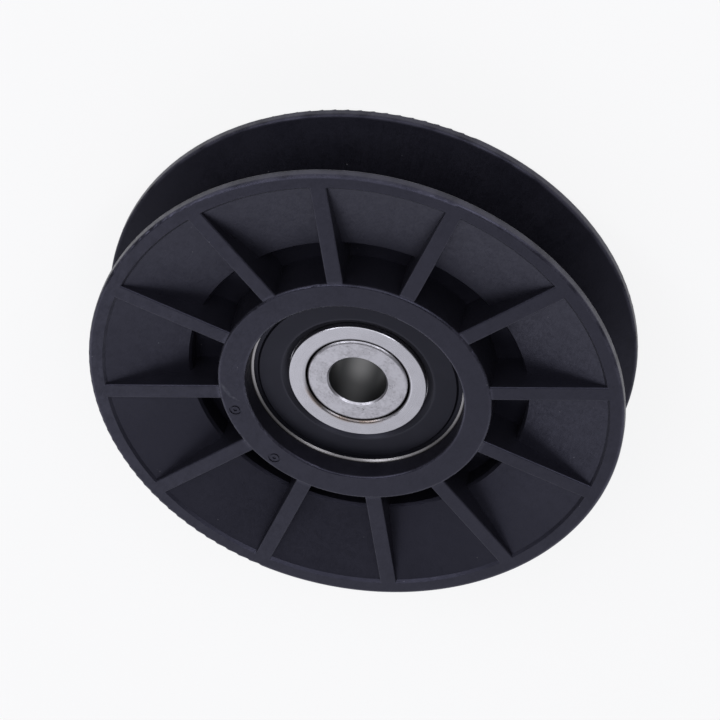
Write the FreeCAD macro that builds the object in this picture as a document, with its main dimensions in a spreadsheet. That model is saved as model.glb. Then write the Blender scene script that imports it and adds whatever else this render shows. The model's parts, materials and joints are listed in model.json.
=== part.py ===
import FreeCAD, Part
import math
import os
import Sketcher

# Driving sizes of the pulley, in millimetres, degrees and counts
SIZES = {
    # Ball bearing envelope
    "bearing_bore": 17.0,
    "bearing_outside": 40.0,
    "bearing_width": 12.0,
    "ring_chamfer": 0.6,
    "ring_bore_round": 0.65,
    # Balls and raceways
    "ball_count": 8,
    "ball_diameter": 6.747,
    "race_conformity": 0.52,
    "race_clearance": 0.02,
    "outer_shoulder": 0.95,
    "inner_shoulder": 1.3,
    # Outer ring face, from its outside to the bevel, and the groove under the bevel for the seal
    "outer_face_width": 1.6,
    "outer_bevel": 1.0,
    "outer_bevel_drop": 0.6,
    "seal_groove_depth": 0.3,
    "seal_groove_height": 0.6,
    # Inner ring face and the step beside it that the seal lip runs over
    "inner_face_wall": 2.95,
    "inner_edge_chamfer": 0.1,
    "lip_step_depth": 1.6,
    # Rubber seals
    "seal_recess": 0.4,
    "seal_thickness": 0.95,
    "seal_edge_slope": 0.35,
    "seal_edge_inset": 1.0,
    "seal_land_gap": 0.3,
    "seal_lip_gap": 0.1,
    "seal_lip_reach": 1.1,
    "seal_lip_thickness": 0.25,
    # Pressed ball cage and its rivets
    "cage_sheet": 0.5,
    "cage_width": 3.0,
    "pocket_clearance": 0.1,
    "rivet_diameter": 1.0,
    "rivet_head_diameter": 1.7,
    "rivet_head_height": 0.4,
    # Bolt sleeve
    "bolt_bore": 9.525,
    "bolt_bore_chamfer": 0.35,
    "sleeve_edge_round": 0.6,
    # Moulded hub around the bearing
    "hub_wall": 2.75,
    "hub_lip_height": 3.2,
    "hub_lip_reach": 0.5,
    "hub_lip_flare": 0.25,
    "hub_edge_round": 0.45,
    "lip_edge_round": 0.35,
    # Pockets between hub and groove, and the web that closes them half-way
    "pocket_width": 5.2,
    "web_thickness": 3.0,
    "mould_draft": 1.0,
    # Belt groove
    "core_wall": 3.05,
    "groove_depth": 13.45,
    "groove_mouth": 14.3,
    "groove_angle": 36.0,
    "groove_root_round": 1.5,
    "groove_lip_round": 0.45,
    # Flanges
    "rim_thickness": 1.8,
    "rim_land": 2.35,
    "rim_bevel": 0.45,
    "rim_edge_round": 0.5,
    "panel_drop": 3.4,
    "panel_foot_bevel": 0.4,
    # Ribs on both faces
    "rib_count": 12,
    "rib_width": 2.75,
    "rib_edge_round": 0.25,
    # Ring marks of the mould's gates on the front hub face
    "gate_mark_diameter": 2.0,
    "gate_mark_core": 1.4,
    "gate_mark_dot": 0.6,
    "gate_mark_depth": 0.15,
    "gate_mark_inset": 1.85,
    "gate_mark_angle": 40.0,
    "gate_mark_spacing": 32.0,
}

document = FreeCAD.newDocument("belt_pulley")
sheet = document.addObject("Spreadsheet::Sheet", "sizes")
for row, (alias, value) in enumerate(SIZES.items(), start=1):
    sheet.set(f"A{row}", alias)
    sheet.set(f"B{row}", str(value))
    sheet.setAlias(f"B{row}", alias)
document.recompute()

# Lines that several pieces share, as formulas on the sheet, from the axis outwards
RING_HALF = "sizes.bearing_width / 2"
BORE_WALL = "sizes.bearing_bore / 2"
RING_WALL = "sizes.bearing_outside / 2"
PITCH = "(sizes.bearing_bore + sizes.bearing_outside) / 4"
BALL = "sizes.ball_diameter / 2"
RACE = "sizes.race_conformity * sizes.ball_diameter"
OUTER_RACE = f"({PITCH} + {BALL} + sizes.race_clearance)"
INNER_RACE = f"({PITCH} - {BALL} - sizes.race_clearance)"
OUTER_LAND = f"({OUTER_RACE} - sizes.outer_shoulder)"
INNER_LAND = f"({INNER_RACE} + sizes.inner_shoulder)"
INNER_FACE = f"({BORE_WALL} + sizes.inner_face_wall)"
BEVEL_START = f"({RING_WALL} - sizes.outer_face_width)"
BEVEL_END = f"({BEVEL_START} - sizes.outer_bevel)"
BEVEL_FOOT = f"({RING_HALF} - sizes.outer_bevel_drop)"
SEAL_SEAT = f"({BEVEL_END} + sizes.seal_groove_depth)"
SEAL_SEAT_FOOT = f"({BEVEL_FOOT} - sizes.seal_groove_height)"
HUB_HALF = f"({RING_HALF} + sizes.hub_lip_height)"
HUB_LIP = f"({BEVEL_START} - sizes.hub_lip_reach)"
HUB_LIP_FOOT = f"({RING_HALF} - sizes.hub_lip_reach * sizes.outer_bevel_drop / sizes.outer_bevel)"
HUB_MOUTH = f"({HUB_LIP} + sizes.hub_lip_flare)"
HUB_WALL = f"({RING_WALL} + sizes.hub_wall)"
POCKET_WALL = f"({HUB_WALL} + sizes.pocket_width)"
GROOVE_ROOT = f"({POCKET_WALL} + sizes.core_wall)"
RIM_WALL = f"({GROOVE_ROOT} + sizes.groove_depth)"
MOUTH_HALF = "sizes.groove_mouth / 2"
ROOT_HALF = f"({MOUTH_HALF} - sizes.groove_depth * tan(sizes.groove_angle / 2))"
RIM_HALF = f"({MOUTH_HALF} + sizes.rim_thickness)"
RIM_LAND = f"({RIM_WALL} - sizes.rim_land)"
PANEL_TOP = f"({RIM_HALF} - sizes.rim_bevel)"
PANEL_FOOT = f"({PANEL_TOP} - sizes.panel_drop)"
PANEL_RISE = f"(sizes.panel_drop / ({RIM_LAND} - sizes.rim_bevel - {POCKET_WALL}))"
WEB_HALF = "sizes.web_thickness / 2"


def worth(formula):
    """The number that a formula on the sheet gives."""
    return float(sheet.evalExpression(formula.replace("sizes.", "")))


def new_body(name):
    body = document.addObject("PartDesign::Body", name)
    body.Label = name
    return body


def origin_of(body, role):
    return next(item for item in body.Origin.OriginFeatures if item.Role == role)


def new_sketch(body, name, plane, height=None):
    """An empty sketch on one of the body's own origin planes, raised to a height where one is given."""
    sketch = body.newObject("Sketcher::SketchObject", name)
    sketch.AttachmentSupport = [(origin_of(body, plane), "")]
    sketch.MapMode = "FlatFace"
    if height is not None:
        sketch.setExpression("AttachmentOffset.Base.z", height)
    return sketch


def bind(sketch, constraint, formula):
    index = sketch.addConstraint(constraint)
    sketch.setExpression(f"Constraints[{index}]", formula)


def pin(sketch, geometry, point, across, up):
    """Ties one point of a sketch to two formulas, measured from the sketch's origin."""
    for kind, formula in (("DistanceX", across), ("DistanceY", up)):
        bind(sketch, Sketcher.Constraint(kind, -1, 1, geometry, point, worth(formula)), formula)


def outline(sketch, corners):
    """A closed outline of straight lines whose corners are pairs of formulas."""
    places = [FreeCAD.Vector(worth(across), worth(up), 0) for across, up in corners]
    count = len(places)
    for index in range(count):
        sketch.addGeometry(Part.LineSegment(places[index], places[(index + 1) % count]))
    for index in range(count):
        sketch.addConstraint(Sketcher.Constraint("Coincident", index, 2, (index + 1) % count, 1))
    for index, (across, up) in enumerate(corners):
        pin(sketch, index, 1, across, up)


def circle(sketch, across, up, radius):
    centre = FreeCAD.Vector(worth(across), worth(up), 0)
    index = sketch.addGeometry(Part.Circle(centre, FreeCAD.Vector(0, 0, 1), worth(radius)))
    pin(sketch, index, 3, across, up)
    bind(sketch, Sketcher.Constraint("Radius", index, worth(radius)), radius)


def rounded_bar(sketch, half_across, half_up, radius):
    """A bar with rounded corners, centred on the sketch's origin."""
    size = worth(radius)
    across = f"({half_across} - {radius})"
    up = f"({half_up} - {radius})"
    quarter = math.pi / 2
    corners = ((1, 1), (-1, 1), (-1, -1), (1, -1))
    for index, (side, end) in enumerate(corners):
        centre = FreeCAD.Vector(side * worth(across), end * worth(up), 0)
        whole = Part.Circle(centre, FreeCAD.Vector(0, 0, 1), size)
        sketch.addGeometry(Part.ArcOfCircle(whole, index * quarter, (index + 1) * quarter))
    for index in range(4):
        following = (index + 1) % 4
        segment = Part.LineSegment(sketch.getPoint(index, 2), sketch.getPoint(following, 1))
        line = sketch.addGeometry(segment)
        sketch.addConstraint(Sketcher.Constraint("Tangent", index, 2, line, 1))
        sketch.addConstraint(Sketcher.Constraint("Tangent", line, 2, following, 1))
    for index, (side, end) in enumerate(corners):
        pin(sketch, index, 3, f"{side} * {across}", f"{end} * {up}")
        bind(sketch, Sketcher.Constraint("Radius", index, size), radius)


def half_disc(sketch, across, radius):
    """A quarter-turn outline standing on the plane's X axis, to be turned about its own upright side."""
    side = FreeCAD.Vector(worth(across), 0, 0)
    size = worth(radius)
    top = FreeCAD.Vector(side.x, size, 0)
    tip = FreeCAD.Vector(side.x + size, 0, 0)
    whole = Part.Circle(side, FreeCAD.Vector(0, 0, 1), size)
    upright = sketch.addGeometry(Part.LineSegment(side, top))
    arc = sketch.addGeometry(Part.ArcOfCircle(whole, 0, math.pi / 2))
    foot = sketch.addGeometry(Part.LineSegment(tip, side))
    sketch.addConstraint(Sketcher.Constraint("Coincident", upright, 2, arc, 2))
    sketch.addConstraint(Sketcher.Constraint("Coincident", arc, 1, foot, 1))
    sketch.addConstraint(Sketcher.Constraint("Coincident", foot, 2, upright, 1))
    sketch.addConstraint(Sketcher.Constraint("Coincident", arc, 3, upright, 1))
    sketch.addConstraint(Sketcher.Constraint("Vertical", upright))
    sketch.addConstraint(Sketcher.Constraint("PointOnObject", upright, 1, -1))
    sketch.addConstraint(Sketcher.Constraint("PointOnObject", arc, 1, -1))
    bind(sketch, Sketcher.Constraint("DistanceX", -1, 1, upright, 1, side.x), across)
    bind(sketch, Sketcher.Constraint("Radius", arc, size), radius)
    return f"Edge{upright + 1}"


def turn(body, kind, name, sketch, axis="V_Axis"):
    """A full revolution of a sketch, added or cut by kind, about the body's axis or a line of the sketch."""
    feature = body.newObject(f"PartDesign::{kind}", name)
    feature.Profile = sketch
    feature.ReferenceAxis = (sketch, [axis])
    feature.Angle = 360
    document.recompute()
    return feature


def extrude(body, kind, name, sketch, length, **settings):
    feature = body.newObject(f"PartDesign::{kind}", name)
    feature.Profile = sketch
    for setting, value in settings.items():
        setattr(feature, setting, value)
    feature.setExpression("Length", length)
    document.recompute()
    return feature


def around(body, name, feature, count, angle="360"):
    """Copies of a feature around the body's upright axis."""
    pattern = body.newObject("PartDesign::PolarPattern", name)
    pattern.Originals = [feature]
    pattern.Axis = (origin_of(body, "Z_Axis"), [""])
    pattern.setExpression("Angle", angle)
    pattern.setExpression("Occurrences", count)
    body.Tip = pattern
    document.recompute()
    return pattern


def ring_edges(shape, radius, height):
    """Names of the circular edges of a shape at a radius, at a height above and below the middle plane."""
    near = 1e-4
    names = []
    for index, edge in enumerate(shape.Edges, start=1):
        if isinstance(edge.Curve, Part.Circle):
            on_ring = abs(edge.Curve.Radius - worth(radius)) < near
            at_height = abs(abs(edge.Curve.Center.z) - worth(height)) < near
            if on_ring and at_height:
                names.append(f"Edge{index}")
    return names


def round_rings(body, name, radius, height, size):
    """Rounds the pair of circular edges at a radius and height."""
    base = body.Tip
    feature = body.newObject("PartDesign::Fillet", name)
    feature.Base = (base, ring_edges(base.Shape, radius, height))
    feature.setExpression("Radius", size)
    document.recompute()
    return feature


def mirrored(corners):
    """An upper half outline with its mirror image below the middle plane, run back in order."""
    return corners + [(across, f"-({up})") for across, up in reversed(corners)]


def pulley_wheel():
    """One moulding: hub, web, ribs, panels and the two flanges of the belt groove."""
    body = new_body("pulley_wheel")
    section = new_sketch(body, "wheel_section", "XZ_Plane")
    draft = "tan(sizes.mould_draft)"
    hub_foot = f"{HUB_WALL} + ({HUB_HALF} - {WEB_HALF}) * {draft}"
    pocket_foot = f"{POCKET_WALL} - ({PANEL_FOOT} - sizes.panel_foot_bevel - {WEB_HALF}) * {draft}"
    outline(section, mirrored([
        (RING_WALL, f"{RING_HALF} - sizes.ring_chamfer"),
        (f"{RING_WALL} - sizes.ring_chamfer", RING_HALF),
        (BEVEL_START, RING_HALF),
        (HUB_LIP, HUB_LIP_FOOT),
        (HUB_MOUTH, HUB_HALF),
        (HUB_WALL, HUB_HALF),
        (hub_foot, WEB_HALF),
        (pocket_foot, WEB_HALF),
        (POCKET_WALL, f"{PANEL_FOOT} - sizes.panel_foot_bevel"),
        (f"{POCKET_WALL} + sizes.panel_foot_bevel", f"{PANEL_FOOT} + sizes.panel_foot_bevel * {PANEL_RISE}"),
        (f"{RIM_LAND} - sizes.rim_bevel", PANEL_TOP),
        (RIM_LAND, RIM_HALF),
        (RIM_WALL, RIM_HALF),
    ]))
    turn(body, "Revolution", "wheel_turning", section)
    round_rings(body, "rim_edge_rounds", RIM_WALL, RIM_HALF, "sizes.rim_edge_round")
    round_rings(body, "hub_edge_rounds", HUB_WALL, HUB_HALF, "sizes.hub_edge_round")
    round_rings(body, "lip_edge_rounds", HUB_MOUTH, HUB_HALF, "sizes.lip_edge_round")

    # One rib serves both faces: a bar from the hub to the middle of the rim land, level with both lands
    rib_start = f"{RING_WALL} + sizes.hub_wall / 2"
    rib_end = f"{RIM_WALL} - sizes.rim_land / 2"
    rib = new_sketch(body, "rib_section", "YZ_Plane", rib_start)
    rounded_bar(rib, "sizes.rib_width / 2", RIM_HALF, "sizes.rib_edge_round")
    bar = extrude(body, "Pad", "rib_bar", rib, f"{rib_end} - ({rib_start})")
    around(body, "rib_ring", bar, "sizes.rib_count")

    # The belt groove runs through the rim and the outer ends of the ribs
    belt = new_sketch(body, "groove_section", "XZ_Plane")
    outline(belt, mirrored([
        (GROOVE_ROOT, ROOT_HALF),
        (f"{RIM_WALL} + sizes.rim_land", f"{MOUTH_HALF} + sizes.rim_land * tan(sizes.groove_angle / 2)"),
    ]))
    turn(body, "Groove", "belt_groove", belt)
    round_rings(body, "groove_root_rounds", GROOVE_ROOT, ROOT_HALF, "sizes.groove_root_round")
    round_rings(body, "groove_lip_rounds", RIM_WALL, MOUTH_HALF, "sizes.groove_lip_round")

    marks = new_sketch(body, "gate_mark_rings", "XY_Plane", HUB_HALF)
    mark_arm = f"({HUB_WALL} - sizes.gate_mark_inset)"
    across = f"{mark_arm} * cos(sizes.gate_mark_angle)"
    up = f"{mark_arm} * sin(sizes.gate_mark_angle)"
    circle(marks, across, up, "sizes.gate_mark_diameter / 2")
    circle(marks, across, up, "sizes.gate_mark_core / 2")
    circle(marks, across, up, "sizes.gate_mark_dot / 2")
    mark = extrude(body, "Pocket", "gate_mark", marks, "sizes.gate_mark_depth")
    around(body, "gate_marks", mark, "2", "sizes.gate_mark_spacing")
    return body


def bearing_outer_ring():
    """Outer ring with its ball groove, face bevels and a seat for each seal."""
    body = new_body("bearing_outer_ring")
    section = new_sketch(body, "outer_ring_section", "XZ_Plane")
    outline(section, mirrored([
        (OUTER_LAND, SEAL_SEAT_FOOT),
        (SEAL_SEAT, SEAL_SEAT_FOOT),
        (SEAL_SEAT, BEVEL_FOOT),
        (BEVEL_END, BEVEL_FOOT),
        (BEVEL_START, RING_HALF),
        (f"{RING_WALL} - sizes.ring_chamfer", RING_HALF),
        (RING_WALL, f"{RING_HALF} - sizes.ring_chamfer"),
    ]))
    turn(body, "Revolution", "outer_ring_turning", section)
    groove = new_sketch(body, "outer_race_section", "XZ_Plane")
    circle(groove, f"{OUTER_RACE} - {RACE}", "0", RACE)
    turn(body, "Groove", "outer_race", groove)
    return body


def bearing_inner_ring():
    """Inner ring with its ball groove and a step at each face for the seal lip."""
    body = new_body("bearing_inner_ring")
    section = new_sketch(body, "inner_ring_section", "XZ_Plane")
    outline(section, mirrored([
        (INNER_LAND, f"{RING_HALF} - sizes.lip_step_depth"),
        (INNER_FACE, f"{RING_HALF} - sizes.lip_step_depth"),
        (INNER_FACE, f"{RING_HALF} - sizes.inner_edge_chamfer"),
        (f"{INNER_FACE} - sizes.inner_edge_chamfer", RING_HALF),
        (BORE_WALL, RING_HALF),
    ]))
    turn(body, "Revolution", "inner_ring_turning", section)
    round_rings(body, "inner_ring_bore_rounds", BORE_WALL, RING_HALF, "sizes.ring_bore_round")
    groove = new_sketch(body, "inner_race_section", "XZ_Plane")
    circle(groove, f"{INNER_RACE} + {RACE}", "0", RACE)
    turn(body, "Groove", "inner_race", groove)
    return body


def bore_sleeve():
    """Sleeve in the bearing's bore, flush with the inner ring, that takes the bolt."""
    body = new_body("bore_sleeve")
    section = new_sketch(body, "sleeve_section", "XZ_Plane")
    bolt_wall = "sizes.bolt_bore / 2"
    outline(section, mirrored([
        (BORE_WALL, RING_HALF),
        (f"{bolt_wall} + sizes.bolt_bore_chamfer", RING_HALF),
        (bolt_wall, f"{RING_HALF} - sizes.bolt_bore_chamfer"),
    ]))
    turn(body, "Revolution", "sleeve_turning", section)
    round_rings(body, "sleeve_edge_rounds", BORE_WALL, RING_HALF, "sizes.sleeve_edge_round")
    return body


def turned_over(body):
    """Lays a piece made for the front face on the rear face."""
    body.Placement = FreeCAD.Placement(FreeCAD.Vector(), FreeCAD.Rotation(FreeCAD.Vector(1, 0, 0), 180))
    return body


def seal(name):
    """Rubber disc with a bead in the outer ring's seat and a lip just clear of the inner ring."""
    body = new_body(name)
    section = new_sketch(body, f"{name}_section", "XZ_Plane")
    top = f"({RING_HALF} - sizes.seal_recess)"
    foot = f"({top} - sizes.seal_thickness)"
    lip = f"({INNER_FACE} + sizes.seal_lip_gap)"
    edge = f"({BEVEL_END} - sizes.seal_edge_inset)"
    lip_top = f"{foot} + sizes.seal_lip_thickness"
    underside = f"{OUTER_LAND} - sizes.seal_land_gap"
    outline(section, [
        (lip, foot),
        (lip, lip_top),
        (f"{lip} + sizes.seal_lip_reach", top),
        (edge, top),
        (f"{edge} + sizes.seal_edge_slope", BEVEL_FOOT),
        (SEAL_SEAT, BEVEL_FOOT),
        (SEAL_SEAT, SEAL_SEAT_FOOT),
        (underside, SEAL_SEAT_FOOT),
        (underside, foot),
    ])
    turn(body, "Revolution", f"{name}_turning", section)
    return body


def cage_half(name):
    """Half of the pressed cage: a flat ribbon with a cup over each ball and a rivet hole between cups."""
    body = new_body(name)
    cup = f"({BALL} + sizes.pocket_clearance)"
    dome = f"({cup} + sizes.cage_sheet)"
    ribbon_inside = f"{PITCH} - sizes.cage_width / 2"
    ribbon_outside = f"{PITCH} + sizes.cage_width / 2"

    ribbon = new_sketch(body, f"{name}_ribbon_rings", "XY_Plane")
    circle(ribbon, "0", "0", ribbon_inside)
    circle(ribbon, "0", "0", ribbon_outside)
    extrude(body, "Pad", f"{name}_ribbon", ribbon, "sizes.cage_sheet")

    dome_section = new_sketch(body, f"{name}_dome_section", "XZ_Plane")
    upright = half_disc(dome_section, PITCH, dome)
    domes = turn(body, "Revolution", f"{name}_dome", dome_section, upright)
    around(body, f"{name}_domes", domes, "sizes.ball_count")

    trim = new_sketch(body, f"{name}_trim_rings", "XY_Plane")
    circle(trim, "0", "0", ribbon_inside)
    circle(trim, "0", "0", ribbon_outside)
    circle(trim, "0", "0", f"{PITCH} + 2 * {dome}")
    extrude(body, "Pocket", f"{name}_trim", trim, f"2 * {dome}", Reversed=True)

    cup_section = new_sketch(body, f"{name}_cup_section", "XZ_Plane")
    upright = half_disc(cup_section, PITCH, cup)
    cups = turn(body, "Groove", f"{name}_cup", cup_section, upright)
    around(body, f"{name}_cups", cups, "sizes.ball_count")

    hole = new_sketch(body, f"{name}_hole_ring", "XY_Plane")
    between = "180 / sizes.ball_count"
    circle(hole, f"{PITCH} * cos({between})", f"{PITCH} * sin({between})", "sizes.rivet_diameter / 2")
    holes = extrude(body, "Pocket", f"{name}_hole", hole, "2 * sizes.cage_sheet", Reversed=True)
    around(body, f"{name}_holes", holes, "sizes.ball_count")
    return body


def cage_rivets():
    """Rivets through both cage halves, half-way between the balls."""
    body = new_body("cage_rivets")
    between = "180 / sizes.ball_count"
    across = f"{PITCH} * cos({between})"
    up = f"{PITCH} * sin({between})"
    for name, width, start, length in (
        ("rivet_shank", "sizes.rivet_diameter", "-sizes.cage_sheet", "2 * sizes.cage_sheet"),
        ("rivet_front_head", "sizes.rivet_head_diameter", "sizes.cage_sheet", "sizes.rivet_head_height"),
        ("rivet_rear_head", "sizes.rivet_head_diameter", "-sizes.cage_sheet - sizes.rivet_head_height",
         "sizes.rivet_head_height"),
    ):
        ring = new_sketch(body, f"{name}_ring", "XY_Plane", start)
        circle(ring, across, up, f"{width} / 2")
        extrude(body, "Pad", name, ring, length)
    pattern = around(body, "rivet_ring", body.Tip, "sizes.ball_count")
    pattern.Originals = [item for item in body.Group if item.TypeId == "PartDesign::Pad"]
    document.recompute()
    return body


def bearing_balls():
    """Balls evenly spaced on the pitch circle, the first on the X axis."""
    balls = []
    count = int(worth("sizes.ball_count"))
    for index in range(count):
        ball = document.addObject("Part::Sphere", f"ball_{index + 1}")
        ball.Label = f"ball_{index + 1}"
        ball.setExpression("Radius", BALL)
        angle = f"{index} * 360 / sizes.ball_count"
        ball.setExpression("Placement.Base.x", f"{PITCH} * cos({angle})")
        ball.setExpression("Placement.Base.y", f"{PITCH} * sin({angle})")
        balls.append(ball)
    return balls


pieces = [
    pulley_wheel(),
    bearing_outer_ring(),
    bearing_inner_ring(),
    bore_sleeve(),
    seal("front_seal"),
    turned_over(seal("rear_seal")),
    cage_half("cage_front_half"),
    turned_over(cage_half("cage_rear_half")),
    cage_rivets(),
]
pieces += bearing_balls()
document.recompute()

for item in document.Objects:
    if "Invalid" in item.State or "Error" in item.State:
        raise RuntimeError(f"{item.Label} did not build: {item.State}")
for piece in pieces:
    if piece.Shape.isNull() or not piece.Shape.isValid():
        raise RuntimeError(f"{piece.Label} has no valid shape")

os.makedirs("parts", exist_ok=True)
for piece in pieces:
    piece.Shape.exportStep(f"parts/{piece.Label}.step")
    print(piece.Label, len(piece.Shape.Solids), round(piece.Shape.Volume, 3))
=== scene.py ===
"""Looks of the belt pulley: the finish of every surface, the floor, the light and the camera."""
import json
import math

import bpy
from mathutils import Matrix, Vector


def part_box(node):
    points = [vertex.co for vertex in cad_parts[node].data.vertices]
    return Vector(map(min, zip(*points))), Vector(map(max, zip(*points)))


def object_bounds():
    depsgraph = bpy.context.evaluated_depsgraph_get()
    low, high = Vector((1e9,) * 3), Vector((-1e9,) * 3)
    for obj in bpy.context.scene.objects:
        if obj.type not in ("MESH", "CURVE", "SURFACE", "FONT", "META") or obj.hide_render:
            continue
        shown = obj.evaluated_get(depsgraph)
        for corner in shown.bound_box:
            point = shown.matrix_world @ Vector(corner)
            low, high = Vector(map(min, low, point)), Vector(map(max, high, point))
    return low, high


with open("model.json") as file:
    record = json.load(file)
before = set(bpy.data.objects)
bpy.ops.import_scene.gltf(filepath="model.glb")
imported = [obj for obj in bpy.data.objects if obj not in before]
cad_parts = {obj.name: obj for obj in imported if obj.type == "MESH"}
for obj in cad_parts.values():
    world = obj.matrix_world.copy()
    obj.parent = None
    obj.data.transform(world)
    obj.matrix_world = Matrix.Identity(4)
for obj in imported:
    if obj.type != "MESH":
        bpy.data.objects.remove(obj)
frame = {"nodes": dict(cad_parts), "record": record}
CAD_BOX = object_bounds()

MM = 0.001
PER_METRE = 1000.0

# Camera, as the photograph sees the pulley: angles in degrees, lens and sensor in millimetres
CAMERA_AZIMUTH = 10.52
CAMERA_ELEVATION = 48.71
CAMERA_ROLL = -164.8
CAMERA_LENS = 209.575
SENSOR = 36.0
# Nearest and farthest distance that the camera sees, in metres
CLIP_NEAR = 0.01
CLIP_FAR = 50.0
# The pulley's centre as the camera sees it: to the right, up and away, in millimetres
CENTRE_RIGHT = 0.6018
CENTRE_UP = 0.3176
CENTRE_AWAY = 691.185

# Sizes that place wear, painted shade and painted highlights on the pulley, in millimetres
(_, _, FLOOR_HEIGHT), (OUTER_RADIUS, _, HALF_WIDTH) = [[c * PER_METRE for c in v] for v in CAD_BOX]
SLEEVE_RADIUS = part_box("bore_sleeve")[1].x * PER_METRE
RING_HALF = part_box("bore_sleeve")[1].z * PER_METRE
BORE_RADIUS = 4.7625
GROOVE_ROOT = 31.0
GROOVE_ROOT_HALF = 2.8
GROOVE_MOUTH_HALF = 7.15
RIM_HALF = 8.95
RIM_LAND = 42.1
HUB_RADIUS = 22.75
HUB_MOUTH = 18.15
SEAL_LIP = 12.7
# Painted highlight along a strip of the bore: its middle and half its width, in degrees round the axis
BORE_STRIP = 100.0
BORE_STRIP_HALF = 42.0
# Scuffs on the hub face: angle in degrees, radius, length and width, and turn in degrees
HUB_SCUFFS = ((28.0, 21.6, 4.0, 0.9, 35.0), (33.0, 20.4, 3.0, 0.6, 5.0))
RIB_COUNT = 12
RIB_HALF = 1.375

# Light: strengths are 1 where a white surface would render white
SKY_COLOUR = (0.89, 0.90, 1.0)
SKY_BRIGHT_SIDE = (-0.374, 0.927, 0.0)
# Sky strength from the near horizon, at -1, over the top, at 0, to the far horizon, at 1
SKY_STRENGTHS = (
    (-1.0, 0.40),
    (-0.7, 1.80),
    (-0.35, 0.20),
    (0.0, 0.14),
    (0.3, 0.12),
    (0.65, 1.03),
    (1.0, 0.90),
)
# Softboxes: azimuth and elevation in degrees, distance, width and height in metres, and strength
FAR_SOFTBOX = (160.0, 45.0, 0.22, 0.12, 0.12, 0.60)
LEFT_SOFTBOX = (90.0, 45.0, 0.70, 0.40, 0.40, 0.25)
NEAR_SOFTBOX = (-19.0, 50.0, 0.70, 0.11, 0.52, 3.4)
SIDE_SOFTBOX = (69.0, 49.0, 0.70, 0.11, 0.52, 4.0)
FLOOR_SIDE = 8.0
FLOOR_COLOUR = (0.90, 0.90, 0.90)
FLOOR_ROUGHNESS = 0.9
# Share of the floor that is seen as plain white; the rest shows the shadow
FLOOR_GLOW = 0.85


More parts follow.
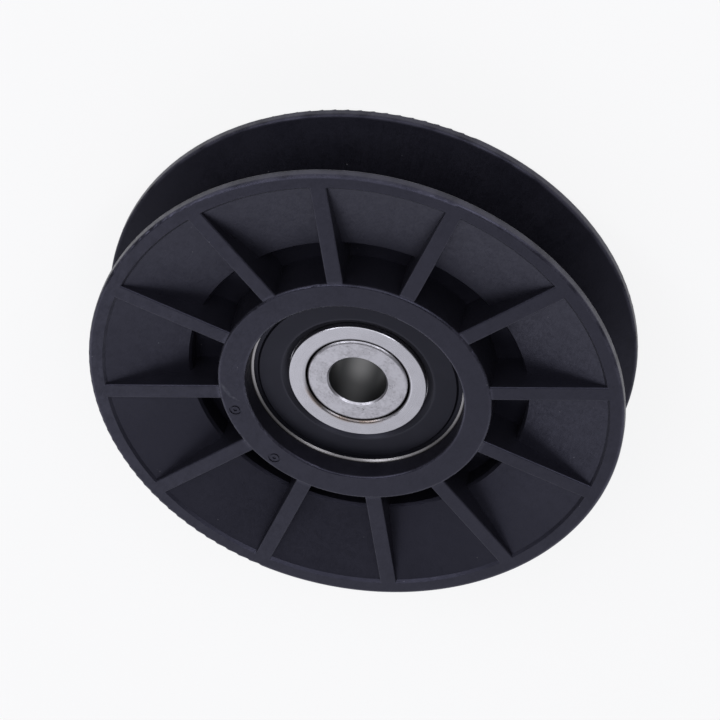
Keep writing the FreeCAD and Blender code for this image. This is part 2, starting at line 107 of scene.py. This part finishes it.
class Finish:
    """One material, with short calls that add nodes and link them. Lengths are millimetres."""

    def __init__(self, name):
        self.material = bpy.data.materials.new(name)
        self.material.use_nodes = True
        self.tree = self.material.node_tree
        self.surface = self.tree.nodes["Principled BSDF"]
        metres = self.add("ShaderNodeTexCoord").outputs["Object"]
        self.place = self.vector("SCALE", metres, Scale=PER_METRE)
        parts = self.add("ShaderNodeSeparateXYZ", Vector=self.place).outputs
        self.x, self.y, self.z = parts
        flat = self.vector("MULTIPLY", self.place, (1.0, 1.0, 0.0))
        self.radius = self.add("ShaderNodeVectorMath", operation="LENGTH", Vector=flat).outputs["Value"]
        self.angle = self.math("ARCTAN2", self.y, self.x)
        self.height = self.math("ABSOLUTE", self.z)

    def add(self, kind, **values):
        """Adds a node. A capitalised value feeds the socket of that name, any other is a setting."""
        node = self.tree.nodes.new(kind)
        for name, value in values.items():
            if name.islower():
                setattr(node, name, value)
        for name, value in values.items():
            if not name.islower():
                self.feed(node.inputs[name], value)
        return node

    def feed(self, socket, value):
        if isinstance(value, bpy.types.NodeSocket):
            self.tree.links.new(value, socket)
        elif socket.type == "RGBA":
            socket.default_value = (*value, 1.0)
        else:
            socket.default_value = value

    def math(self, operation, *values):
        node = self.add("ShaderNodeMath", operation=operation)
        for socket, value in zip(node.inputs, values):
            self.feed(socket, value)
        return node.outputs["Value"]

    def vector(self, operation, *values, **named):
        node = self.add("ShaderNodeVectorMath", operation=operation, **named)
        for socket, value in zip(node.inputs, values):
            self.feed(socket, value)
        return node.outputs["Vector"]

    def noise(self, size, detail=2.0, roughness=0.5, at=None):
        """Soft noise from 0 to 1 whose blotches are about size across."""
        node = self.add(
            "ShaderNodeTexNoise",
            Vector=at or self.place,
            Scale=1.0 / size,
            Detail=detail,
            Roughness=roughness,
        )
        return node.outputs["Fac"]

    def polar(self, around, outward, upward):
        """Coordinates that run round the axis, outwards and upwards, each divided by its own length."""
        round_way = self.math("MULTIPLY", self.angle, OUTER_RADIUS / around)
        out_way = self.math("DIVIDE", self.radius, outward)
        up_way = self.math("DIVIDE", self.z, upward)
        return self.add("ShaderNodeCombineXYZ", X=round_way, Y=out_way, Z=up_way).outputs["Vector"]

    def specks(self, spacing, size):
        """Scattered dots about size across: 1 on a dot, 0 elsewhere."""
        node = self.add("ShaderNodeTexVoronoi", Vector=self.place, Scale=1.0 / spacing)
        return self.spread(node.outputs["Distance"], 0.5 * size / spacing, 0.3 * size / spacing)

    def spread(self, value, start, end, low=0.0, high=1.0):
        """Maps value from start to end onto low to high, smoothly, and holds it beyond."""
        node = self.add("ShaderNodeMapRange", interpolation_type="SMOOTHSTEP", Value=value)
        for name, number in (("From Min", start), ("From Max", end), ("To Min", low), ("To Max", high)):
            self.feed(node.inputs[name], number)
        return node.outputs["Result"]

    def between(self, value, low, high, edge):
        """1 where value is between low and high, fading out over edge."""
        rise = self.spread(value, low - edge, low)
        fall = self.spread(value, high + edge, high)
        return self.math("MULTIPLY", rise, fall)

    def both(self, first, *others):
        for other in others:
            first = self.math("MULTIPLY", first, other)
        return first

    def blend(self, share, first, second):
        """The colour first where share is 0 and second where it is 1."""
        node = self.add("ShaderNodeMix", data_type="RGBA")
        self.feed(node.inputs["Factor"], share)
        self.feed(node.inputs[6], first)
        self.feed(node.inputs[7], second)
        return node.outputs[2]

    def either(self, first, *others):
        for other in others:
            first = self.math("MAXIMUM", first, other)
        return first

    def nearness(self, across, up, reach):
        """1 where two distances are both nothing, 0 where together they are beyond reach."""
        squares = self.math("ADD", self.math("MULTIPLY", across, across), self.math("MULTIPLY", up, up))
        return self.spread(self.math("SQRT", squares), reach, 0.35 * reach)

    def near_ring(self, radius, height, reach):
        """1 on the pair of rings at a radius and a height above and below the middle, 0 beyond reach."""
        return self.nearness(
            self.math("SUBTRACT", self.radius, radius), self.math("SUBTRACT", self.height, height), reach
        )

    def near_rib_edge(self, reach):
        """1 on the upper edges of the ribs, 0 beyond reach."""
        turned = self.math("PINGPONG", self.angle, math.pi / RIB_COUNT)
        aside = self.math("MULTIPLY", self.radius, self.math("SINE", turned))
        edge = self.nearness(
            self.math("SUBTRACT", aside, RIB_HALF), self.math("SUBTRACT", self.height, RIM_HALF), reach
        )
        return self.both(edge, self.between(self.radius, HUB_RADIUS, RIM_LAND, reach))

    def gap_shade(self, near_width, far_width):
        """Painted shade beside the sleeve: 1 in its gap, 0 beyond a width that changes from near to far
        side.
        """
        aside = self.math("ABSOLUTE", self.math("SUBTRACT", self.radius, SLEEVE_RADIUS))
        width = self.spread(self.math("DIVIDE", self.y, self.radius), -0.7, 0.7, near_width, far_width)
        return self.spread(self.math("DIVIDE", aside, width), 1.0, 0.15)

    def smear(self, angle, radius, length, width, turn):
        """1 in the middle of an oblong patch at an angle and radius, turned about itself, 0 outside."""
        middle = (radius * math.cos(math.radians(angle)), radius * math.sin(math.radians(angle)), 0.0)
        away = self.vector("SUBTRACT", self.place, middle)
        turned = self.add(
            "ShaderNodeVectorRotate", rotation_type="Z_AXIS", Vector=away, Angle=math.radians(turn)
        )
        shrunk = self.vector("DIVIDE", turned.outputs["Vector"], (length / 2, width / 2, 1.0))
        parts = self.add("ShaderNodeSeparateXYZ", Vector=shrunk).outputs
        return self.nearness(parts["X"], parts["Y"], 1.0)

    def relief(self, *layers):
        """Joins bumps, each a height from 0 to 1 and its depth."""
        normal = None
        for height, depth in layers:
            bump = self.add("ShaderNodeBump", Height=height, Distance=depth * MM)
            if normal:
                self.feed(bump.inputs["Normal"], normal)
            normal = bump.outputs["Normal"]
        self.feed(self.surface.inputs["Normal"], normal)

    def set(self, **values):
        for name, value in values.items():
            self.feed(self.surface.inputs[name.replace("_", " ")], value)


def moulded_nylon():
    """Black glass-filled nylon: a satin skin, duller in the groove, with edges partly worn and partly
    lightened as a painted highlight, scuffs and dust.
    """
    made = Finish("moulded_nylon")
    black = (0.0050, 0.0048, 0.0066)
    greyed = (0.0075, 0.0072, 0.0096)
    # rubbed: the edges' lighter tone, partly wear and partly a painted highlight
    rubbed = (0.048, 0.047, 0.060)
    worn_rim = (0.030, 0.029, 0.037)
    scraped = (0.110, 0.115, 0.120)
    dust = (0.16, 0.16, 0.16)
    clouds = made.noise(9.0, detail=3.0)
    flow = made.noise(1.6, detail=3.0, roughness=0.6)
    fibres = made.noise(0.35, detail=2.0, at=made.vector("MULTIPLY", made.place, (1.0, 0.45, 1.0)))
    grain = made.noise(0.12, detail=1.0)
    drawn = made.noise(1.0, detail=2.0, at=made.polar(0.5, 14.0, 9.0))
    wall_height = made.spread(made.radius, GROOVE_ROOT, OUTER_RADIUS, GROOVE_ROOT_HALF, GROOVE_MOUTH_HALF)
    above_wall = made.math("SUBTRACT", made.height, wall_height)
    outside_root = made.spread(made.radius, GROOVE_ROOT - 1.0, GROOVE_ROOT)
    in_groove = made.both(made.spread(above_wall, 0.6, 0.3), outside_root)
    edges = made.either(
        made.near_ring(OUTER_RADIUS, RIM_HALF, 0.7),
        made.near_ring(OUTER_RADIUS, GROOVE_MOUTH_HALF, 0.4),
        made.near_ring(HUB_RADIUS, HALF_WIDTH, 0.6),
        made.near_ring(HUB_MOUTH, HALF_WIDTH, 0.5),
        made.math("MULTIPLY", made.near_rib_edge(0.3), 0.35),
    )
    patches = made.spread(made.noise(4.0, detail=3.0), 0.28, 0.62)
    # Lighter rounded edges: partly wear, partly a painted highlight
    rub_and_sheen = made.both(edges, patches)
    rim_wear = made.both(made.spread(made.radius, OUTER_RADIUS - 0.6, OUTER_RADIUS - 0.2), patches)
    on_hub_face = made.spread(made.z, HALF_WIDTH - 0.3, HALF_WIDTH - 0.1)
    scuffs = made.either(*[made.smear(*scuff) for scuff in HUB_SCUFFS])
    scuffs = made.both(scuffs, made.spread(flow, 0.38, 0.62), on_hub_face)
    flecks = made.specks(3.2, 0.2)
    colour = made.blend(made.spread(clouds, 0.3, 0.7), black, greyed)
    colour = made.blend(rim_wear, colour, worn_rim)
    colour = made.blend(made.math("MULTIPLY", rub_and_sheen, 0.4), colour, rubbed)
    colour = made.blend(made.math("MULTIPLY", scuffs, 0.4), colour, scraped)
    colour = made.blend(made.math("MULTIPLY", flecks, 0.7), colour, dust)
    rough = made.spread(fibres, 0.25, 0.75, 0.38, 0.50)
    rough = made.math("ADD", rough, made.spread(flow, 0.3, 0.7, -0.04, 0.04))
    rough = made.math("ADD", rough, made.both(in_groove, made.spread(drawn, 0.35, 0.7, -0.02, 0.04)))
    rough = made.math("SUBTRACT", rough, made.math("MULTIPLY", edges, 0.15))
    gloss = made.spread(in_groove, 0.0, 1.0, 0.5, 0.26)
    made.set(Base_Color=colour, Roughness=rough)
    made.set(Specular_IOR_Level=gloss, Specular_Tint=(0.745, 0.740, 1.0))
    made.relief((grain, 0.009), (fibres, 0.012), (flow, 0.018), (clouds, 0.05))
    return made.material


def ground_steel():
    """Bearing steel ground bright: a fine lay round the axis, painted shade in the gap by the sleeve and
    under the hub's lip, a warm stain in the bore corner and a film on the bevel.
    """
    made = Finish("ring_steel")
    bright = (0.492, 0.484, 0.494)
    dull = (0.455, 0.447, 0.455)
    filmed = (0.350, 0.337, 0.325)
    stain = (0.300, 0.205, 0.130)
    # shade_colour: painted shade for the gap by the sleeve and under the hub's lip
    shade_colour = (0.020, 0.018, 0.017)
    lay = made.noise(1.0, detail=2.0, at=made.polar(14.0, 0.045, 0.045))
    clouds = made.noise(3.0, detail=3.0)
    low_side = made.spread(made.math("DIVIDE", made.y, made.radius), 0.35, 0.95)
    corner = made.near_ring(SLEEVE_RADIUS, RING_HALF, 1.0)
    stained = made.both(corner, low_side, made.spread(clouds, 0.30, 0.60))
    # Painted shade where the ring runs under the hub's lip
    shade_under_lip = made.spread(made.radius, HUB_MOUTH - 0.55, HUB_MOUTH - 0.30)
    on_bevel = made.spread(made.radius, HUB_MOUTH - 1.2, HUB_MOUTH - 1.0)
    # Painted shade: the gap beside the sleeve, its width set by the side, and the ring under the hub's
    # lip
    shaded = made.either(made.gap_shade(near_width=0.60, far_width=0.35), shade_under_lip)
    colour = made.blend(made.spread(clouds, 0.3, 0.7), bright, dull)
    colour = made.blend(made.math("MULTIPLY", stained, 0.75), colour, stain)
    colour = made.blend(on_bevel, colour, filmed)
    colour = made.blend(shaded, colour, shade_colour)
    made.set(Base_Color=colour, Metallic=1.0, Roughness=made.spread(lay, 0.2, 0.8, 0.24, 0.32))
    made.relief((lay, 0.0008))
    return made.material


def turned_steel():
    """The sleeve: mild steel faced on a lathe, lightly pitted; its bore painted dark as shade with a
    painted highlight along a strip, and painted shade in the gap beside the ring.
    """
    made = Finish("sleeve_steel")
    bright = (0.530, 0.520, 0.530)
    dull = (0.440, 0.430, 0.437)
    pit = (0.120, 0.112, 0.112)
    # shade_colour: painted shade for the gap beside the ring
    shade_colour = (0.020, 0.018, 0.017)
    # The bore painted nearly black as shade, and a painted highlight along a strip of it
    shaded_bore = (0.030, 0.031, 0.034)
    painted_bore_highlight = (0.195, 0.195, 0.200)
    turning = made.noise(1.0, detail=2.0, at=made.polar(9.0, 0.09, 0.09))
    mottle = made.noise(0.45, detail=4.0, roughness=0.6)
    clouds = made.noise(2.4, detail=3.0)
    on_face = made.spread(made.radius, BORE_RADIUS + 0.03, BORE_RADIUS + 0.08)
    pits = made.both(
        made.spread(made.noise(0.42, detail=3.0, roughness=0.6), 0.64, 0.72),
        made.spread(clouds, 0.52, 0.66),
        on_face,
    )
    scratches = made.spread(made.noise(1.0, detail=2.0, at=made.polar(5.0, 0.16, 1.0)), 0.60, 0.68)
    scratches = made.both(scratches, made.spread(clouds, 0.40, 0.52))
    # Painted shade in the gap beside the ring, wider on the far side
    shaded = made.gap_shade(near_width=0.15, far_width=0.75)
    # Painted highlight: a strip of the bore, brighter deeper down
    from_strip = made.math("ABSOLUTE", made.math("SUBTRACT", made.angle, math.radians(BORE_STRIP)))
    strip = made.spread(from_strip, math.radians(BORE_STRIP_HALF), 0.0)
    strip = made.both(strip, made.spread(made.z, 2.0, -3.0, 0.33, 1.0))
    cloudy = made.math("MULTIPLY", made.math("ADD", mottle, clouds), 0.5)
    colour = made.blend(made.spread(cloudy, 0.40, 0.62), bright, dull)
    colour = made.blend(made.math("MULTIPLY", scratches, 0.6), colour, pit)
    colour = made.blend(pits, colour, pit)
    colour = made.blend(shaded, colour, shade_colour)
    colour = made.blend(on_face, made.blend(strip, shaded_bore, painted_bore_highlight), colour)
    face_rough = made.spread(mottle, 0.3, 0.7, 0.31, 0.40)
    face_rough = made.math("ADD", face_rough, made.spread(turning, 0.3, 0.7, -0.03, 0.03))
    rough = made.math("ADD", made.both(face_rough, on_face), made.spread(on_face, 1.0, 0.0, 0.0, 0.42))
    made.set(Base_Color=colour, Metallic=1.0, Roughness=rough)
    made.relief(
        (made.both(turning, on_face), 0.003), (made.both(mottle, on_face), 0.006), (pits, -0.02)
    )
    return made.material


def seal_rubber():
    """Black nitrile rubber with a soft gloss, fine rings from its mould and a film of dust."""
    made = Finish("seal_rubber")
    black = (0.0040, 0.0040, 0.0052)
    dusty = (0.0070, 0.0070, 0.0090)
    rubbed = (0.0180, 0.0180, 0.0210)
    rings = made.noise(1.0, detail=1.0, at=made.polar(30.0, 0.12, 0.5))
    grain = made.noise(0.16, detail=2.0)
    clouds = made.noise(4.0, detail=3.0)
    film = made.both(made.spread(clouds, 0.4, 0.7), made.spread(grain, 0.3, 0.7, 0.5, 1.0))
    colour = made.blend(film, black, dusty)
    colour = made.blend(made.spread(made.radius, SEAL_LIP + 0.4, SEAL_LIP), colour, rubbed)
    made.set(Base_Color=colour, Roughness=made.spread(grain, 0.2, 0.8, 0.29, 0.39))
    made.set(Specular_IOR_Level=0.28, Specular_Tint=(0.78, 0.78, 1.0))
    made.relief((grain, 0.003), (rings, 0.004))
    return made.material


def pressed_steel():
    """The cage: cold-rolled strip, pressed and riveted, with a film of grease."""
    made = Finish("cage_steel")
    bright = (0.36, 0.36, 0.37)
    greasy = (0.20, 0.17, 0.12)
    rolled = made.noise(0.5, detail=3.0, at=made.vector("MULTIPLY", made.place, (1.0, 0.2, 1.0)))
    grease = made.spread(made.noise(2.0, detail=3.0), 0.4, 0.65)
    made.set(Base_Color=made.blend(grease, bright, greasy), Metallic=1.0)
    made.set(Roughness=made.spread(rolled, 0.25, 0.75, 0.28, 0.42))
    made.relief((rolled, 0.004))
    return made.material


def polished_steel():
    """The balls: lapped chrome steel with faint running marks."""
    made = Finish("ball_steel")
    bright = (0.52, 0.53, 0.55)
    oily = (0.42, 0.40, 0.36)
    marks = made.noise(0.4, detail=3.0, at=made.vector("MULTIPLY", made.place, (1.0, 1.0, 0.15)))
    oil = made.spread(made.noise(2.5, detail=2.0), 0.4, 0.7)
    made.set(Base_Color=made.blend(oil, bright, oily), Metallic=1.0)
    made.set(Roughness=made.spread(marks, 0.3, 0.7, 0.08, 0.16))
    made.relief((marks, 0.0006))
    return made.material


def dress_nodes():
    """Gives every solid the finish of its material slot."""
    finishes = {
        "moulded_nylon": moulded_nylon(),
        "ring_steel": ground_steel(),
        "sleeve_steel": turned_steel(),
        "seal_rubber": seal_rubber(),
        "cage_steel": pressed_steel(),
        "ball_steel": polished_steel(),
    }
    for subpart in frame["record"]["subparts"]:
        node = frame["nodes"][subpart["node"]]
        for slot in node.material_slots:
            slot.material = finishes[subpart["material_slot"]]


def seen_directly(tree):
    """1 for rays that show the background itself: from the camera, off gloss or through glass."""
    path = tree.nodes.new("ShaderNodeLightPath").outputs
    either = tree.nodes.new("ShaderNodeMath")
    either.operation = "MAXIMUM"
    tree.links.new(path["Is Camera Ray"], either.inputs[0])
    tree.links.new(path["Is Glossy Ray"], either.inputs[1])
    any_of_them = tree.nodes.new("ShaderNodeMath")
    any_of_them.operation = "MAXIMUM"
    tree.links.new(either.outputs["Value"], any_of_them.inputs[0])
    tree.links.new(path["Is Transmission Ray"], any_of_them.inputs[1])
    return any_of_them.outputs["Value"]


def studio_sky():
    """Soft light from all round: bright from beyond the pulley and from the near side, dim from above."""
    world = bpy.data.worlds.new("studio")
    bpy.context.scene.world = world
    world.use_nodes = True
    tree = world.node_tree
    direction = tree.nodes.new("ShaderNodeTexCoord").outputs["Generated"]
    towards = tree.nodes.new("ShaderNodeVectorMath")
    towards.operation = "DOT_PRODUCT"
    tree.links.new(direction, towards.inputs[0])
    towards.inputs[1].default_value = SKY_BRIGHT_SIDE
    graded = tree.nodes.new("ShaderNodeFloatCurve")
    curve = graded.mapping.curves[0]
    for _ in SKY_STRENGTHS[2:]:
        curve.points.new(0.5, 0.5)
    graded.mapping.use_clip = False
    for point, (side, strength) in zip(curve.points, SKY_STRENGTHS):
        point.location = ((side + 1.0) / 2.0, strength)
        point.handle_type = "VECTOR"
    graded.mapping.update()
    share = tree.nodes.new("ShaderNodeMapRange")
    share.inputs["From Min"].default_value = -1.0
    tree.links.new(towards.outputs["Value"], share.inputs["Value"])
    tree.links.new(share.outputs["Result"], graded.inputs["Value"])
    light = tree.nodes["Background"]
    light.inputs["Color"].default_value = (*SKY_COLOUR, 1.0)
    tree.links.new(graded.outputs["Value"], light.inputs["Strength"])


def white_floor():
    """A pale sheet under the pulley that keeps a faint shadow."""
    half = FLOOR_SIDE / 2
    height = FLOOR_HEIGHT * MM
    mesh = bpy.data.meshes.new("floor")
    corners = [(-half, -half, height), (half, -half, height), (half, half, height), (-half, half, height)]
    mesh.from_pydata(corners, [], [(0, 1, 2, 3)])
    floor = bpy.data.objects.new("floor", mesh)
    bpy.context.scene.collection.objects.link(floor)
    material = bpy.data.materials.new("floor")
    material.use_nodes = True
    tree = material.node_tree
    paper = tree.nodes["Principled BSDF"]
    paper.inputs["Base Color"].default_value = (*FLOOR_COLOUR, 1.0)
    paper.inputs["Roughness"].default_value = FLOOR_ROUGHNESS
    glow = tree.nodes.new("ShaderNodeEmission")
    share = tree.nodes.new("ShaderNodeMath")
    share.operation = "MULTIPLY"
    tree.links.new(seen_directly(tree), share.inputs[0])
    share.inputs[1].default_value = FLOOR_GLOW
    mixed = tree.nodes.new("ShaderNodeMixShader")
    tree.links.new(share.outputs["Value"], mixed.inputs["Fac"])
    tree.links.new(paper.outputs["BSDF"], mixed.inputs[1])
    tree.links.new(glow.outputs["Emission"], mixed.inputs[2])
    tree.links.new(mixed.outputs["Shader"], tree.nodes["Material Output"].inputs["Surface"])
    mesh.materials.append(material)


def softbox(name, azimuth, elevation, distance, width, height, strength):
    """A flat lamp that faces the pulley, itself unseen by the camera."""
    around = math.radians(azimuth)
    above = math.radians(elevation)
    level = math.cos(above)
    away = Vector((math.sin(around) * level, -math.cos(around) * level, math.sin(above)))
    lamp = bpy.data.lights.new(name, "AREA")
    lamp.shape = "RECTANGLE"
    lamp.size = width
    lamp.size_y = height
    lamp.energy = strength * math.pi * width * height
    lamp.color = SKY_COLOUR
    lit = bpy.data.objects.new(name, lamp)
    lit.visible_camera = False
    lit.location = away * distance
    lit.rotation_mode = "QUATERNION"
    lit.rotation_quaternion = (-away).to_track_quat("-Z", "Y")
    bpy.context.scene.collection.objects.link(lit)


def camera():
    """The photograph's camera: long lens, above the face and turned nearly upside down."""
    turn = Matrix.Rotation(math.radians(CAMERA_AZIMUTH), 3, "Z")
    tip = Matrix.Rotation(math.radians(90.0 - CAMERA_ELEVATION), 3, "X")
    roll = Matrix.Rotation(math.radians(CAMERA_ROLL), 3, "Z")
    pose = turn @ tip @ roll
    centre = Vector((CENTRE_RIGHT, CENTRE_UP, -CENTRE_AWAY)) * MM
    lens = bpy.data.cameras.new("camera")
    lens.lens = CAMERA_LENS
    lens.sensor_width = SENSOR
    lens.clip_start = CLIP_NEAR
    lens.clip_end = CLIP_FAR
    seen_from = bpy.data.objects.new("camera", lens)
    seen_from.matrix_world = Matrix.Translation(-(pose @ centre)) @ pose.to_4x4()
    bpy.context.scene.collection.objects.link(seen_from)
    bpy.context.scene.camera = seen_from


dress_nodes()
studio_sky()
white_floor()
softbox("far_softbox", *FAR_SOFTBOX)
softbox("left_softbox", *LEFT_SOFTBOX)
softbox("near_softbox", *NEAR_SOFTBOX)
softbox("side_softbox", *SIDE_SOFTBOX)
camera()
bpy.context.scene.view_settings.view_transform = "Standard"
